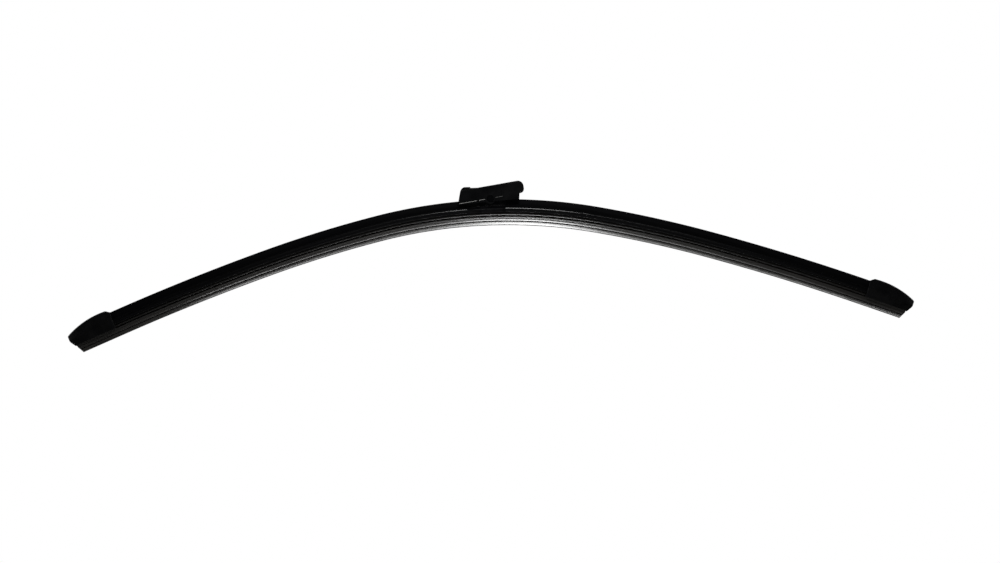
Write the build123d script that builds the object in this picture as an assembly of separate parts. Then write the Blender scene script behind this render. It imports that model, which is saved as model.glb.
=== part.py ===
from build123d import *
import os
from itertools import accumulate, pairwise
from math import cos, radians, sin, tan

# A flat wiper blade, as it hangs free of the glass. Two bowed spring rails carry a rubber
# wiping strip, a spoiler in two halves and an end cap at each end. In the middle a base
# grips the rails, and its pivot pin holds the adapter that a wiper arm slides onto.
#
# All sizes are in millimetres and degrees. X runs along the blade, Y across it with the
# wind side at -Y, and Z away from the glass. The origin is on the pivot pin's axis.
# Sections are drawn as (y, z), with z measured up from the wiping edge. A station is a
# length along the wiping edge from the middle of the blade, negative to the left.

# Bow of the wiping edge: three radii from the middle outwards, then a straight run under the cap
BLADE_LENGTH = 650.0
CENTRE_RADIUS = 379.0
CENTRE_REACH = 80.0
MIDDLE_RADIUS = 909.0
MIDDLE_REACH = 85.0
OUTER_RADIUS = 1743.0

# Wiping rubber, from the wiping edge upwards
LIP_EDGE = 0.7
LIP_ROOT = 1.5
LIP_HEIGHT = 2.5
BODY_FOOT = 3.9
BODY_WIDTH = 5.0
BODY_HEIGHT = 3.3
WEB_WIDTH = 1.0
WEB_HEIGHT = 0.7
RIDGE_WIDTH = 4.4
RIDGE_HEIGHT = 1.4
NECK_WIDTH = 2.6
NECK_HEIGHT = 0.6
HEAD_FOOT_WIDTH = 5.6
HEAD_FOOT_HEIGHT = 2.0
GROOVE_WEB = 2.0
HEAD_CROWN_WIDTH = 4.6
HEAD_CROWN_HEIGHT = 1.2
END_RAKE_TOP = 5.4
END_RAKE = 2.5

# Spring rails
RAIL_WIDTH = 4.0
RAIL_THICKNESS = 1.0
RAIL_PLAY = 0.06
RAIL_SETBACK = 4.0
NOTCH_LENGTH = 3.0
NOTCH_DEPTH = 0.8

# Spoiler
CLAW_WALL = 0.9
CLAW_LIP = 0.7
CLAW_REACH = 1.4
HEAD_PLAY = 0.3
FOOT_SHOULDER = 1.5
FOOT_CHAMFER = 0.4
SPOILER_RISE = 6.3
RIDGE_LINE_OFFSET = 0.5
RIDGE_LINE_WIDTH = 1.8
RIDGE_LINE_CROWN = 0.5
WIND_HOLLOW = 1.15
LEE_HOLLOW = 0.95

# End caps
CAP_LENGTH = 36.2
CAP_RUN_IN = 3.8
CAP_NOSE = 3.8
CAP_HALF_WIDTH = 7.4
CAP_TIP_HALF_WIDTH = 3.2
CAP_GABLE = 5.3
CAP_CROWN_AT = 8.7
CAP_TIP_DROP = 6.3
CAP_EAVES_CUT = 1.5
CAP_CREST_CUT = 3.2
CAP_CREST_EDGE_CUT = 0.8
CAP_BEAK_RISE = 4.8
CAP_BEAK_SLANT = 3.0
CAP_MOUTH_RAKE = 3.5
CAP_MOUTH_RISE = 2.7
CAP_PLAY = 0.15
SPOILER_INSERT = 8.0
NUB_AT = 18.0

# Connector base and pivot
BASE_LENGTH = 28.0
BASE_WALL = 1.3
BASE_LIP = 0.9
BASE_PLATE = 1.2
BASE_PLATE_WIDTH = 8.4
BASE_SHOULDER = 0.6
BASE_GAP = 0.1
TOWER_WIDTH = 5.8
TOWER_SHOULDER = 4.2
TOWER_ROUND = 4.0
PIVOT_RISE = 5.65
PIVOT_OFFSET = 3.25
PIN_RADIUS = 2.5
PIN_RECESS = 0.2
PIN_CHAMFER = 0.3
PIN_SEAT_PLAY = 0.01
PIN_PLAY = 0.05

# Arm adapter, with u along it and v up from the pivot
ADAPTER_TILT = 7.6
ADAPTER_WIDTH = 10.4
ADAPTER_WALL = 1.5
ADAPTER_TAIL = 24.5
ADAPTER_HEAD = 21.4
TAIL_RAKE = 19.5
ROOF_HEIGHT = 9.7
ROOF_ROUND = 1.0
LEDGE_HEIGHT = 0.3
LEDGE_THICKNESS = 1.3
SKIRT_WIDTH = 12.4
SKIRT_WALL = 1.9
SKIRT_DROP = 3.6
SKIRT_TAIL_DROP = 0.6
END_WALL = 1.5
HEAD_START = 9.2
NOSE_REACH = 4.8
NOSE_BOTTOM = 0.3
NOSE_TOP_ROUND = 4.3
NOSE_UNDER_ROUND = 3.1
NOSE_SIDE_ROUND = 1.2
LEDGE_NOTCH_AT = -9.4
LEDGE_NOTCH = 1.9
BOSS_RADIUS = 4.0
BOSS_PLAY = 0.1
PIN_NOTCH_RADIUS = 4.1
TONGUE_WIDTH = 5.2
TONGUE_SLOT = 0.8
TONGUE_ROOT = 5.0
BUTTON_HEIGHT = 2.3
BUTTON_END = -13.3
BUTTON_STEP = 1.5
BUTTON_ROUND = 2.4
RAMP_END = -7.8

# Levels above the wiping edge
SHOULDER_LEVEL = LIP_HEIGHT + BODY_HEIGHT
RIDGE_LEVEL = SHOULDER_LEVEL + WEB_HEIGHT
NECK_LEVEL = RIDGE_LEVEL + RIDGE_HEIGHT
HEAD_LEVEL = NECK_LEVEL + NECK_HEIGHT
GROOVE_FLOOR = HEAD_LEVEL + HEAD_FOOT_HEIGHT
RAIL_FLOOR = GROOVE_FLOOR + RAIL_PLAY
RAIL_TOP = RAIL_FLOOR + RAIL_THICKNESS
GROOVE_TOP = RAIL_TOP + RAIL_PLAY
HEAD_TOP = GROOVE_TOP + HEAD_CROWN_HEIGHT
CHANNEL_ROOF = HEAD_TOP + HEAD_PLAY
FOOT_TOP = GROOVE_TOP + FOOT_SHOULDER
SPOILER_TOP = FOOT_TOP + SPOILER_RISE
PLATE_TOP = CHANNEL_ROOF + BASE_PLATE
PIVOT_LEVEL = PLATE_TOP + PIVOT_RISE

# Half widths and stations that several pieces share
RAIL_INNER = GROOVE_WEB / 2 + RAIL_PLAY
RAIL_OUTER = RAIL_INNER + RAIL_WIDTH
SPOILER_HALF = RAIL_OUTER + RAIL_PLAY + CLAW_WALL
BASE_HALF = RAIL_OUTER + RAIL_PLAY + BASE_WALL
CAP_START = BLADE_LENGTH / 2 - CAP_LENGTH
RUBBER_END = BLADE_LENGTH / 2 - CAP_NOSE
RAIL_END = RUBBER_END - RAIL_SETBACK
SPOILER_START = BASE_LENGTH / 2 + BASE_GAP
SPOILER_END = CAP_START + SPOILER_INSERT


# The bow

def bow_stretches():
    """One half of the bow from the middle outwards, as (length, radius); no radius is straight."""
    straight = CAP_LENGTH + CAP_RUN_IN
    outer = BLADE_LENGTH / 2 - CENTRE_REACH - MIDDLE_REACH - straight
    return [
        (CENTRE_REACH, CENTRE_RADIUS),
        (MIDDLE_REACH, MIDDLE_RADIUS),
        (outer, OUTER_RADIUS),
        (straight, None),
    ]


def bow_plane(station):
    """Section plane at a station: its x is the blade's Y, its y points away from the glass."""
    x, z, slope, left = 0.0, 0.0, 0.0, abs(station)
    for length, radius in bow_stretches():
        step = min(left, length)
        left -= step
        if radius is None:
            x += step * cos(slope)
            z -= step * sin(slope)
        else:
            turned = slope + step / radius
            x += radius * (sin(turned) - sin(slope))
            z += radius * (cos(turned) - cos(slope))
            slope = turned
    side = 1 if station >= 0 else -1
    return Plane(origin=(side * x, 0, z), x_dir=(0, 1, 0), z_dir=(cos(slope), 0, -side * sin(slope)))


def bow_path(start, end):
    """The wiping edge between two stations, as tangent arcs and straight runs."""
    joints = list(accumulate(length for length, _ in bow_stretches()))[:-1]
    inside = [s for s in sorted(joints + [-j for j in joints]) if start < s < end]
    edges = []
    for a, b in pairwise([start, *inside, end]):
        first, middle, last = (bow_plane(s).origin for s in (a, (a + b) / 2, b))
        straight = abs(a + b) / 2 > joints[-1]
        edges.append(Line(first, last) if straight else ThreePointArc(first, middle, last))
    return Wire(edges)


def along_bow(section, start, end):
    """A section swept along the bow between two stations."""
    return sweep(bow_plane(start) * section, path=bow_path(start, end))


def span(y0, y1, z0, z1):
    """Rectangle of a section between two y and two z values."""
    return Pos((y0 + y1) / 2, (z0 + z1) / 2) * Rectangle(y1 - y0, z1 - z0)


def block(x0, x1, y0, y1, z0, z1):
    """Box between two corners."""
    middle = ((x0 + x1) / 2, (y0 + y1) / 2, (z0 + z1) / 2)
    return Pos(*middle) * Box(x1 - x0, y1 - y0, z1 - z0)


# Extruded strips

def wiping_rubber():
    """Rubber strip: tapered lip, body, tilting web, stop ridge and the head with its rail grooves."""
    half = [
        (LIP_EDGE / 2, 0),
        (LIP_ROOT / 2, LIP_HEIGHT),
        (BODY_FOOT / 2, LIP_HEIGHT),
        (BODY_WIDTH / 2, SHOULDER_LEVEL),
        (WEB_WIDTH / 2, SHOULDER_LEVEL),
        (WEB_WIDTH / 2, RIDGE_LEVEL),
        (RIDGE_WIDTH / 2, RIDGE_LEVEL),
        (RIDGE_WIDTH / 2, NECK_LEVEL),
        (NECK_WIDTH / 2, NECK_LEVEL),
        (NECK_WIDTH / 2, HEAD_LEVEL),
        (HEAD_FOOT_WIDTH / 2, HEAD_LEVEL),
        (HEAD_FOOT_WIDTH / 2, GROOVE_FLOOR),
        (GROOVE_WEB / 2, GROOVE_FLOOR),
        (GROOVE_WEB / 2, GROOVE_TOP),
        (HEAD_CROWN_WIDTH / 2, GROOVE_TOP),
        (HEAD_CROWN_WIDTH / 2, HEAD_TOP),
    ]
    outline = half + [(-y, z) for y, z in reversed(half)]
    section = make_face(Polyline(*outline, close=True))
    strip = along_bow(section, -RUBBER_END, RUBBER_END)
    rake = make_face(Polyline((END_RAKE_TOP, 0), (0, -END_RAKE), (-1, -END_RAKE), (-1, 0), close=True))
    offcut = extrude(Plane.YZ * rake, BODY_WIDTH, both=True)
    right = bow_plane(RUBBER_END) * offcut
    return strip - right - mirror(right, about=Plane.YZ)


def spring_rail(side):
    """Flat steel strip; side is -1 for the wind side and 1 for the lee side."""
    inner, outer = sorted((side * RAIL_INNER, side * RAIL_OUTER))
    rail = along_bow(span(inner, outer, RAIL_FLOOR, RAIL_TOP), -RAIL_END, RAIL_END)
    notch = Box(2 * NOTCH_DEPTH, 4 * RAIL_THICKNESS, NOTCH_LENGTH)
    for station in (-CAP_START - NUB_AT, CAP_START + NUB_AT):
        place = bow_plane(station) * Pos(side * RAIL_OUTER, (RAIL_FLOOR + RAIL_TOP) / 2)
        rail -= place * notch
    return rail


def rail_channel(lip_level):
    """What the rails and the rubber's head take out of a piece that is clawed onto the rails."""
    slot = RAIL_OUTER + RAIL_PLAY
    mouth = RAIL_OUTER - CLAW_REACH
    crown = HEAD_CROWN_WIDTH / 2 + HEAD_PLAY
    return (
        span(-slot, slot, GROOVE_FLOOR, GROOVE_TOP)
        + span(-mouth, mouth, lip_level, GROOVE_FLOOR)
        + span(-crown, crown, GROOVE_TOP, CHANNEL_ROOF)
    )


def spoiler_form():
    """Outer form of the spoiler: foot, two hollow flanks and a rounded ridge line."""
    foot_level = GROOVE_FLOOR - CLAW_LIP
    wind_ridge = (RIDGE_LINE_OFFSET - RIDGE_LINE_WIDTH / 2, SPOILER_TOP - RIDGE_LINE_CROWN)
    lee_ridge = (RIDGE_LINE_OFFSET + RIDGE_LINE_WIDTH / 2, SPOILER_TOP - RIDGE_LINE_CROWN)
    wind_edge = (FOOT_CHAMFER - SPOILER_HALF, FOOT_TOP)
    lee_edge = (SPOILER_HALF - FOOT_CHAMFER, FOOT_TOP)
    outline = [
        Line((SPOILER_HALF, foot_level), (-SPOILER_HALF, foot_level)),
        Line((-SPOILER_HALF, foot_level), (-SPOILER_HALF, FOOT_TOP - FOOT_CHAMFER)),
        Line((-SPOILER_HALF, FOOT_TOP - FOOT_CHAMFER), wind_edge),
        SagittaArc(wind_edge, wind_ridge, -WIND_HOLLOW),
        SagittaArc(wind_ridge, lee_ridge, RIDGE_LINE_CROWN),
        SagittaArc(lee_ridge, lee_edge, -LEE_HOLLOW),
        Line(lee_edge, (SPOILER_HALF, FOOT_TOP - FOOT_CHAMFER)),
        Line((SPOILER_HALF, FOOT_TOP - FOOT_CHAMFER), (SPOILER_HALF, foot_level)),
    ]
    return make_face(outline)


def spoiler(side):
    """One half of the spoiler; side is -1 for the left and 1 for the right."""
    section = spoiler_form() - rail_channel(GROOVE_FLOOR - CLAW_LIP)
    start, end = sorted((side * SPOILER_START, side * SPOILER_END))
    return along_bow(section, start, end)


# End caps, drawn with the section's y and z as x and y, and the distance from the cap's mouth as z

def cap_section(distance):
    """Outer section of the cap at a distance from its mouth: upright sides and a gable with cut edges."""
    taper = (distance / CAP_LENGTH) ** 4
    half = CAP_HALF_WIDTH - taper * (CAP_HALF_WIDTH - CAP_TIP_HALF_WIDTH)
    past_crown = (distance - CAP_CROWN_AT) / (CAP_LENGTH - CAP_CROWN_AT)
    apex = SPOILER_TOP + CAP_GABLE - CAP_TIP_DROP * past_crown**2
    eaves = min(FOOT_TOP, (RIDGE_LEVEL + apex) / 2)
    gable = [(-half, RIDGE_LEVEL), (half, RIDGE_LEVEL), (half, eaves), (0, apex), (-half, eaves)]
    outline = make_face(Polyline(*gable, close=True))
    outline = chamfer([v for v in outline.vertices() if abs(v.Y - eaves) < 1e-6], CAP_EAVES_CUT)
    outline = chamfer(outline.vertices().sort_by(Axis.Y)[-1], CAP_CREST_CUT)
    outline = chamfer(outline.vertices().sort_by(Axis.Y)[-2:], CAP_CREST_EDGE_CUT)
    return Pos(0, 0, distance) * outline


def cap_pockets():
    """Room in the cap for the ends of the spoiler, the rails and the rubber's head."""
    rails = RAIL_OUTER + CAP_PLAY
    head = HEAD_FOOT_WIDTH / 2 + CAP_PLAY
    rail_depth = RAIL_END - CAP_START + CAP_PLAY
    spoiler_room = extrude(offset(spoiler_form(), CAP_PLAY), SPOILER_INSERT + CAP_PLAY)
    rail_room = extrude(span(-rails, rails, GROOVE_FLOOR, GROOVE_TOP), rail_depth)
    head_room = extrude(span(-head, head, 0, HEAD_TOP + CAP_PLAY), RUBBER_END - CAP_START + CAP_PLAY)
    nub_depth = NOTCH_DEPTH - CAP_PLAY
    nub_half = NOTCH_LENGTH / 2 - CAP_PLAY
    for side in (-1, 1):
        inner, outer = sorted((side * (RAIL_OUTER - nub_depth), side * (rails + 1)))
        rail_room -= block(inner, outer, GROOVE_FLOOR, GROOVE_TOP, NUB_AT - nub_half, NUB_AT + nub_half)
    return spoiler_room + rail_room + head_room


def right_end_cap():
    """Moulded cap: a lofted beak over the ends of the spoiler, the rails and the rubber's head."""
    shares = (0.0, 0.25, 0.5, 0.72, 0.88, 1.0)
    cap = loft([cap_section(share * CAP_LENGTH) for share in shares])
    under = Polyline(
        (0, CAP_LENGTH - CAP_BEAK_SLANT),
        (RIDGE_LEVEL, CAP_LENGTH - CAP_BEAK_SLANT),
        (RIDGE_LEVEL + CAP_BEAK_RISE, CAP_LENGTH + 0.1),
        (0, CAP_LENGTH + 0.1),
        close=True,
    )
    mouth = Polyline(
        (SPOILER_TOP, -0.1),
        (SPOILER_TOP, 0),
        (SPOILER_TOP + CAP_MOUTH_RISE, CAP_MOUTH_RAKE),
        (SPOILER_TOP + CAP_GABLE, CAP_MOUTH_RAKE),
        (SPOILER_TOP + CAP_GABLE, -0.1),
        close=True,
    )
    for cut in (under, mouth):
        cap -= extrude(Plane.YZ * make_face(cut), 2 * CAP_HALF_WIDTH, both=True)
    return bow_plane(CAP_START) * (cap - cap_pockets())


# Connector and pivot

def pivot_cylinder(radius, width):
    """Cylinder across the blade on the pivot's axis."""
    return Pos(PIVOT_OFFSET, 0, PIVOT_LEVEL) * Rot(90, 0, 0) * Cylinder(radius, width)


def connector_base():
    """Base crimped onto both rails, with a tower that holds the pivot pin."""
    lip_level = GROOVE_FLOOR - BASE_LIP
    half = [
        (BASE_HALF, lip_level),
        (BASE_HALF, GROOVE_TOP + BASE_SHOULDER),
        (BASE_PLATE_WIDTH / 2, PLATE_TOP),
    ]
    outline = half + [(-y, z) for y, z in reversed(half)]
    section = make_face(Polyline(*outline, close=True)) - rail_channel(lip_level)
    saddle = along_bow(section, -BASE_LENGTH / 2, BASE_LENGTH / 2)
    left, right = bow_plane(-BASE_LENGTH / 2), bow_plane(BASE_LENGTH / 2)
    levels = (CHANNEL_ROOF + PLATE_TOP) / 2, PLATE_TOP + TOWER_SHOULDER
    corners = [end.from_local_coords((0, level)) for level in levels for end in (left, right)]
    web = Polyline(*[(corners[i].X, corners[i].Z) for i in (0, 1, 3, 2)], close=True)
    eye = Pos(PIVOT_OFFSET, PIVOT_LEVEL) * Circle(TOWER_ROUND)
    tower = extrude(Plane.XZ * make_hull([*web.edges(), *eye.edges()]), TOWER_WIDTH / 2, both=True)
    return saddle + tower - pivot_cylinder(PIN_RADIUS + PIN_SEAT_PLAY, 2 * TOWER_WIDTH)


def pivot_pin():
    """Steel cross pin, held in the tower and turning in the adapter."""
    pin = pivot_cylinder(PIN_RADIUS, ADAPTER_WIDTH - 2 * PIN_RECESS)
    return chamfer(pin.edges().filter_by(GeomType.CIRCLE), PIN_CHAMFER)


# Arm adapter, drawn level with its pivot at the origin

def tail_at(v):
    """Where the raked tail of the adapter is at a height above the pivot."""
    return v * tan(radians(TAIL_RAKE)) - ADAPTER_TAIL


def side_prism(points, width):
    """Prism across the adapter from an outline in (u, v)."""
    return extrude(Plane.XZ * make_face(Polyline(*points, close=True)), width / 2, both=True)


def skirt_at(u):
    """Height of the skirt's lower edge along the adapter."""
    tail = tail_at(-SKIRT_TAIL_DROP)
    slope = (SKIRT_TAIL_DROP - SKIRT_DROP) / (ADAPTER_HEAD - tail)
    return slope * (u - tail) - SKIRT_TAIL_DROP


def adapter_shell():
    """Channel that goes into the arm, with a ledge for the arm's edges and a wider head."""
    low = [(tail_at(-SKIRT_TAIL_DROP), -SKIRT_TAIL_DROP), (ADAPTER_HEAD, -SKIRT_DROP)]
    body = side_prism(low + [(ADAPTER_HEAD, ROOF_HEIGHT), (tail_at(ROOF_HEIGHT), ROOF_HEIGHT)], ADAPTER_WIDTH)
    body = fillet(body.edges().filter_by(Axis.X).group_by(Axis.Z)[-1], ROOF_ROUND)
    skirt = side_prism(low + [(ADAPTER_HEAD, LEDGE_HEIGHT), (tail_at(LEDGE_HEIGHT), LEDGE_HEIGHT)], SKIRT_WIDTH)
    notch_start = LEDGE_NOTCH_AT - LEDGE_NOTCH / 2
    for side in (-1, 1):
        near, out = sorted((side * ADAPTER_WIDTH / 2, side * SKIRT_WIDTH))
        skirt -= block(notch_start, notch_start + LEDGE_NOTCH, near, out, -SKIRT_DROP, ROOF_HEIGHT)
    return body + skirt + adapter_head()


def adapter_head():
    """Wide head in front of the arm's end, with a rounded nose that overhangs the spoiler."""
    tip = ADAPTER_HEAD + NOSE_REACH
    outline = make_face(Polyline(
        (HEAD_START, skirt_at(HEAD_START)),
        (ADAPTER_HEAD, -SKIRT_DROP),
        (ADAPTER_HEAD, NOSE_BOTTOM),
        (tip, NOSE_BOTTOM),
        (tip, ROOF_HEIGHT),
        (HEAD_START, ROOF_HEIGHT),
        close=True,
    ))
    rounds = {
        (tip, NOSE_BOTTOM): NOSE_UNDER_ROUND,
        (tip, ROOF_HEIGHT): NOSE_TOP_ROUND,
    }
    for corner, radius in rounds.items():
        outline = fillet(outline.vertices().sort_by_distance((*corner, 0))[0], radius)
    head = extrude(Plane.XZ * outline, SKIRT_WIDTH / 2, both=True)
    sides = head.faces().filter_by(Axis.Y)
    rim = [e for face in sides for e in face.edges() if e.center().Z > NOSE_BOTTOM - 0.01]
    rim = [e for e in rim if e.center().X > HEAD_START + 0.01]
    return fillet(rim, NOSE_SIDE_ROUND)


def arm_adapter():
    """Adapter that turns on the pivot pin and that the wiper arm slides onto."""
    inner = ADAPTER_WIDTH / 2 - ADAPTER_WALL
    skirt_inner = SKIRT_WIDTH / 2 - SKIRT_WALL
    ceiling = ROOF_HEIGHT - ADAPTER_WALL
    far = 2 * ADAPTER_TAIL
    adapter = adapter_shell()
    adapter -= block(-far, ADAPTER_HEAD - END_WALL, -inner, inner, -far, ceiling)
    adapter -= block(-far, far, -inner, inner, -far, NOSE_BOTTOM)
    adapter -= block(-far, far, -skirt_inner, skirt_inner, -far, LEDGE_HEIGHT - LEDGE_THICKNESS)

    slot_inner = TONGUE_WIDTH / 2
    slot_outer = slot_inner + TONGUE_SLOT
    for side in (-1, 1):
        near, out = sorted((side * slot_inner, side * slot_outer))
        adapter -= block(-far, TONGUE_ROOT, near, out, ceiling - 0.1, ROOF_HEIGHT + 0.1)
    adapter += latch_button()

    boss_start = TOWER_WIDTH / 2 + BOSS_PLAY
    boss_width = inner + ADAPTER_WALL / 2 - boss_start
    for side in (-1, 1):
        place = Pos(0, side * (boss_start + boss_width / 2), 0) * Rot(90, 0, 0)
        adapter += place * Cylinder(BOSS_RADIUS, boss_width)
        notch_width = SKIRT_WIDTH - ADAPTER_WIDTH
        notch = Pos(0, side * (ADAPTER_WIDTH + notch_width) / 2, 0) * Rot(90, 0, 0)
        adapter -= notch * Cylinder(PIN_NOTCH_RADIUS, notch_width)
    adapter -= Rot(90, 0, 0) * Cylinder(PIN_RADIUS + PIN_PLAY, 2 * SKIRT_WIDTH)
    return Pos(PIVOT_OFFSET, 0, PIVOT_LEVEL) * Rot(0, -ADAPTER_TILT, 0) * adapter


def latch_button():
    """Raised button at the free end of the latch tongue, with a ramp down to the roof."""
    ceiling = ROOF_HEIGHT - ADAPTER_WALL
    top = ROOF_HEIGHT + BUTTON_HEIGHT
    outline = make_face(Polyline(
        (tail_at(ceiling), ceiling),
        (tail_at(top), top),
        (BUTTON_END, top),
        (BUTTON_END, top - BUTTON_STEP),
        (RAMP_END, ROOF_HEIGHT),
        (RAMP_END, ceiling),
        close=True,
    ))
    crest = outline.vertices().group_by(Axis.Y)[-1].sort_by(Axis.X)
    outline = fillet(crest[0], BUTTON_ROUND)
    return extrude(Plane.XZ * outline, TONGUE_WIDTH / 2, both=True)


def main():
    os.makedirs("parts", exist_ok=True)
    cap = right_end_cap()
    pieces = {
        "wiping_rubber": wiping_rubber(),
        "front_spring_rail": spring_rail(-1),
        "rear_spring_rail": spring_rail(1),
        "left_spoiler": spoiler(-1),
        "right_spoiler": spoiler(1),
        "left_end_cap": mirror(cap, about=Plane.YZ),
        "right_end_cap": cap,
        "connector_base": connector_base(),
        "pivot_pin": pivot_pin(),
        "arm_adapter": arm_adapter(),
    }
    to_pivot = Pos(-PIVOT_OFFSET, 0, -PIVOT_LEVEL)
    for name, piece in pieces.items():
        export_step(to_pivot * piece, f"parts/{name}.step")


main()
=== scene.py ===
"""Looks of a flat wiper blade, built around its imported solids.

Sizes are in millimetres, as in the part's source, and become metres where a mesh is made. A station
is a length along the wiping edge from the middle of the blade. A section has its across and height
values in the plane that stands on the wiping edge at a station.
"""

from __future__ import annotations

import logging
import math
from dataclasses import dataclass, field
from enum import Enum
from typing import Any

import bmesh
import bpy
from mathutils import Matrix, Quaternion, Vector

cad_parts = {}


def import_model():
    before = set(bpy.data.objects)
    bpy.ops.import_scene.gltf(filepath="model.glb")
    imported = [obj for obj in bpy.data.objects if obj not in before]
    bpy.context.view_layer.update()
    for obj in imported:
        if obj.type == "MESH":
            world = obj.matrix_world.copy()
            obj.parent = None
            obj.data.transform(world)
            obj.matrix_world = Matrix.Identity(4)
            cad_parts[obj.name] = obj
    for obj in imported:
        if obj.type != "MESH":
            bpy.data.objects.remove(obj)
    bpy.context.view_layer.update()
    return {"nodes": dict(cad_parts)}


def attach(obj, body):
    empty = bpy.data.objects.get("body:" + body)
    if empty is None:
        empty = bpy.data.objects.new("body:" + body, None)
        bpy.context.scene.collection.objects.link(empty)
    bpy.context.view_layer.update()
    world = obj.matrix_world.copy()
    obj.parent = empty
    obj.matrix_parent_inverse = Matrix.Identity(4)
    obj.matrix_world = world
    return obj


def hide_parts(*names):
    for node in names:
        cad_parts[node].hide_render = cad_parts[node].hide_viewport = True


MM = 0.001
LOG = logging.getLogger("wiper_blade")

Point = tuple[float, float]
Point3 = tuple[float, float, float]
Corner = tuple[float, float, float]
Span = tuple[float, float, float, float]
Room = tuple[float, float, float, float]


class Side(Enum):
    """End of the blade that a piece belongs to, with its sign along X."""

    LEFT = -1
    RIGHT = 1


class Body(Enum):
    """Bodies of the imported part."""

    ADAPTER = "adapter"
    BLADE = "blade"


class Slot(Enum):
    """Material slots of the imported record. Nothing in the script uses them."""

    RUBBER = "wiping_rubber"
    SPOILER = "spoiler_rubber"
    PLASTIC = "moulded_plastic"
    COATED = "coated_steel"


def linear(code: str) -> tuple[float, float, float, float]:
    """Turn an sRGB hex colour into the linear values that nodes take.

    Args:
        code: Colour such as "#1a1a1b".

    Returns:
        Red, green, blue and an alpha of 1.
    """
    shares = [int(code[i : i + 2], 16) / 255 for i in (1, 3, 5)]
    rgb = [c / 12.92 if c <= 0.04045 else ((c + 0.055) / 1.055) ** 2.4 for c in shares]
    return (rgb[0], rgb[1], rgb[2], 1.0)


def add_node(
    tree: bpy.types.NodeTree,
    kind: str,
    settings: dict[str, Any] | None = None,
    inputs: dict[int | str, Any] | None = None,
) -> bpy.types.Node:
    """Add one node with its settings, values and links.

    Args:
        tree: Tree that gets the node.
        kind: Blender's identifier of the node.
        settings: Attributes to set on the node.
        inputs: Values by socket. A node or an output socket is linked, anything else is set.

    Returns:
        The new node.
    """
    node = tree.nodes.new(kind)
    for key, value in (settings or {}).items():
        setattr(node, key, value)
    for key, value in (inputs or {}).items():
        if isinstance(value, bpy.types.Node):
            value = value.outputs[0]
        if isinstance(value, bpy.types.NodeSocket):
            tree.links.new(value, node.inputs[key])
        else:
            node.inputs[key].default_value = value
    return node


def turned(arm: Vector, turn: float) -> Vector:
    """Turn an arm in the plane of a section by an angle in radians."""
    cos, sin = math.cos(turn), math.sin(turn)
    return Vector((arm.x * cos - arm.y * sin, arm.x * sin + arm.y * cos))


def rounded(corners: list[Corner], steps: int = 4) -> list[Point]:
    """Round the corners of a closed outline.

    Args:
        corners: Corner points in order, each with its radius.
        steps: Chords in each rounded corner.

    Returns:
        Points of the outline, with the same number for every rounded corner.
    """
    points: list[Point] = []
    for i, (y, h, radius) in enumerate(corners):
        here = Vector((y, h))
        if radius <= 0:
            points.append((y, h))
            continue
        back = (Vector(corners[i - 1][:2]) - here).normalized()
        ahead = (Vector(corners[(i + 1) % len(corners)][:2]) - here).normalized()
        half = back.angle(ahead) / 2
        centre = here + (back + ahead).normalized() * (radius / math.sin(half))
        first = here + back * (radius / math.tan(half)) - centre
        last = here + ahead * (radius / math.tan(half)) - centre
        sweep = first.angle_signed(last)
        points += [tuple(centre + turned(first, -sweep * k / steps)) for k in range(steps + 1)]
    return points


def hollow(start: Point, end: Point, depth: float, steps: int) -> list[Point]:
    """Find the points of a circular arc between two ends.

    Args:
        start: First end, which is left out of the result.
        end: Other end, which is left out too.
        depth: Sagitta, positive where the arc bulges to the left of start to end.
        steps: Chords in the arc.

    Returns:
        The points between the ends.
    """
    a, b = Vector(start), Vector(end)
    chord = b - a
    normal = Vector((-chord.y, chord.x)).normalized()
    radius = (chord.length**2 / 4 + depth**2) / (2 * abs(depth))
    centre = (a + b) / 2 - normal * math.copysign(radius - abs(depth), depth)
    spread = math.copysign(2 * math.asin(min(1.0, chord.length / 2 / radius)), depth)
    return [tuple(centre + turned(a - centre, -spread * k / steps)) for k in range(1, steps)]


def cleaned(mesh: bpy.types.Mesh) -> None:
    """Merge a mesh's doubled points and turn its faces outwards.

    Args:
        mesh: Mesh to change.
    """
    work = bmesh.new()
    work.from_mesh(mesh)
    bmesh.ops.remove_doubles(work, verts=work.verts, dist=1e-7)
    bmesh.ops.recalc_face_normals(work, faces=work.faces)
    work.to_mesh(mesh)
    work.free()


def mesh_object(
    name: str,
    verts: list[Vector],
    faces: list[tuple[int, ...]],
    edges: list[tuple[int, int]] | None = None,
) -> bpy.types.Object:
    """Link a new object with a mesh.

    Args:
        name: Name of the object and of its mesh.
        verts: Points in metres.
        faces: Faces by their points' numbers.
        edges: Loose edges, where there are any.

    Returns:
        The new object.
    """
    mesh = bpy.data.meshes.new(name)
    mesh.from_pydata(verts, edges or [], faces)
    obj = bpy.data.objects.new(name, mesh)
    bpy.context.scene.collection.objects.link(obj)
    return obj


def prism(name: str, near: list[Vector], far: list[Vector]) -> bpy.types.Object:
    """Make a closed prism between two outlines, to be taken out of a piece.

    Args:
        name: Name of the object.
        near: Points of one end, in metres.
        far: Points of the other end, in the same order.

    Returns:
        The prism, with its faces turned outwards.
    """
    count = len(near)
    faces = [(k, (k + 1) % count, count + (k + 1) % count, count + k) for k in range(count)]
    faces += [tuple(range(count)), tuple(range(count, 2 * count))]
    block = mesh_object(name, near + far, faces)
    cleaned(block.data)
    return block


def carve(obj: bpy.types.Object, cutters: list[bpy.types.Object]) -> None:
    """Add the modifiers that take prisms out of an object.

    Args:
        obj: Object to carve.
        cutters: The prisms.
    """
    for cutter in cutters:
        cut = obj.modifiers.new("carve", "BOOLEAN")
        cut.operation, cut.solver, cut.object = "DIFFERENCE", "EXACT", cutter


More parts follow.
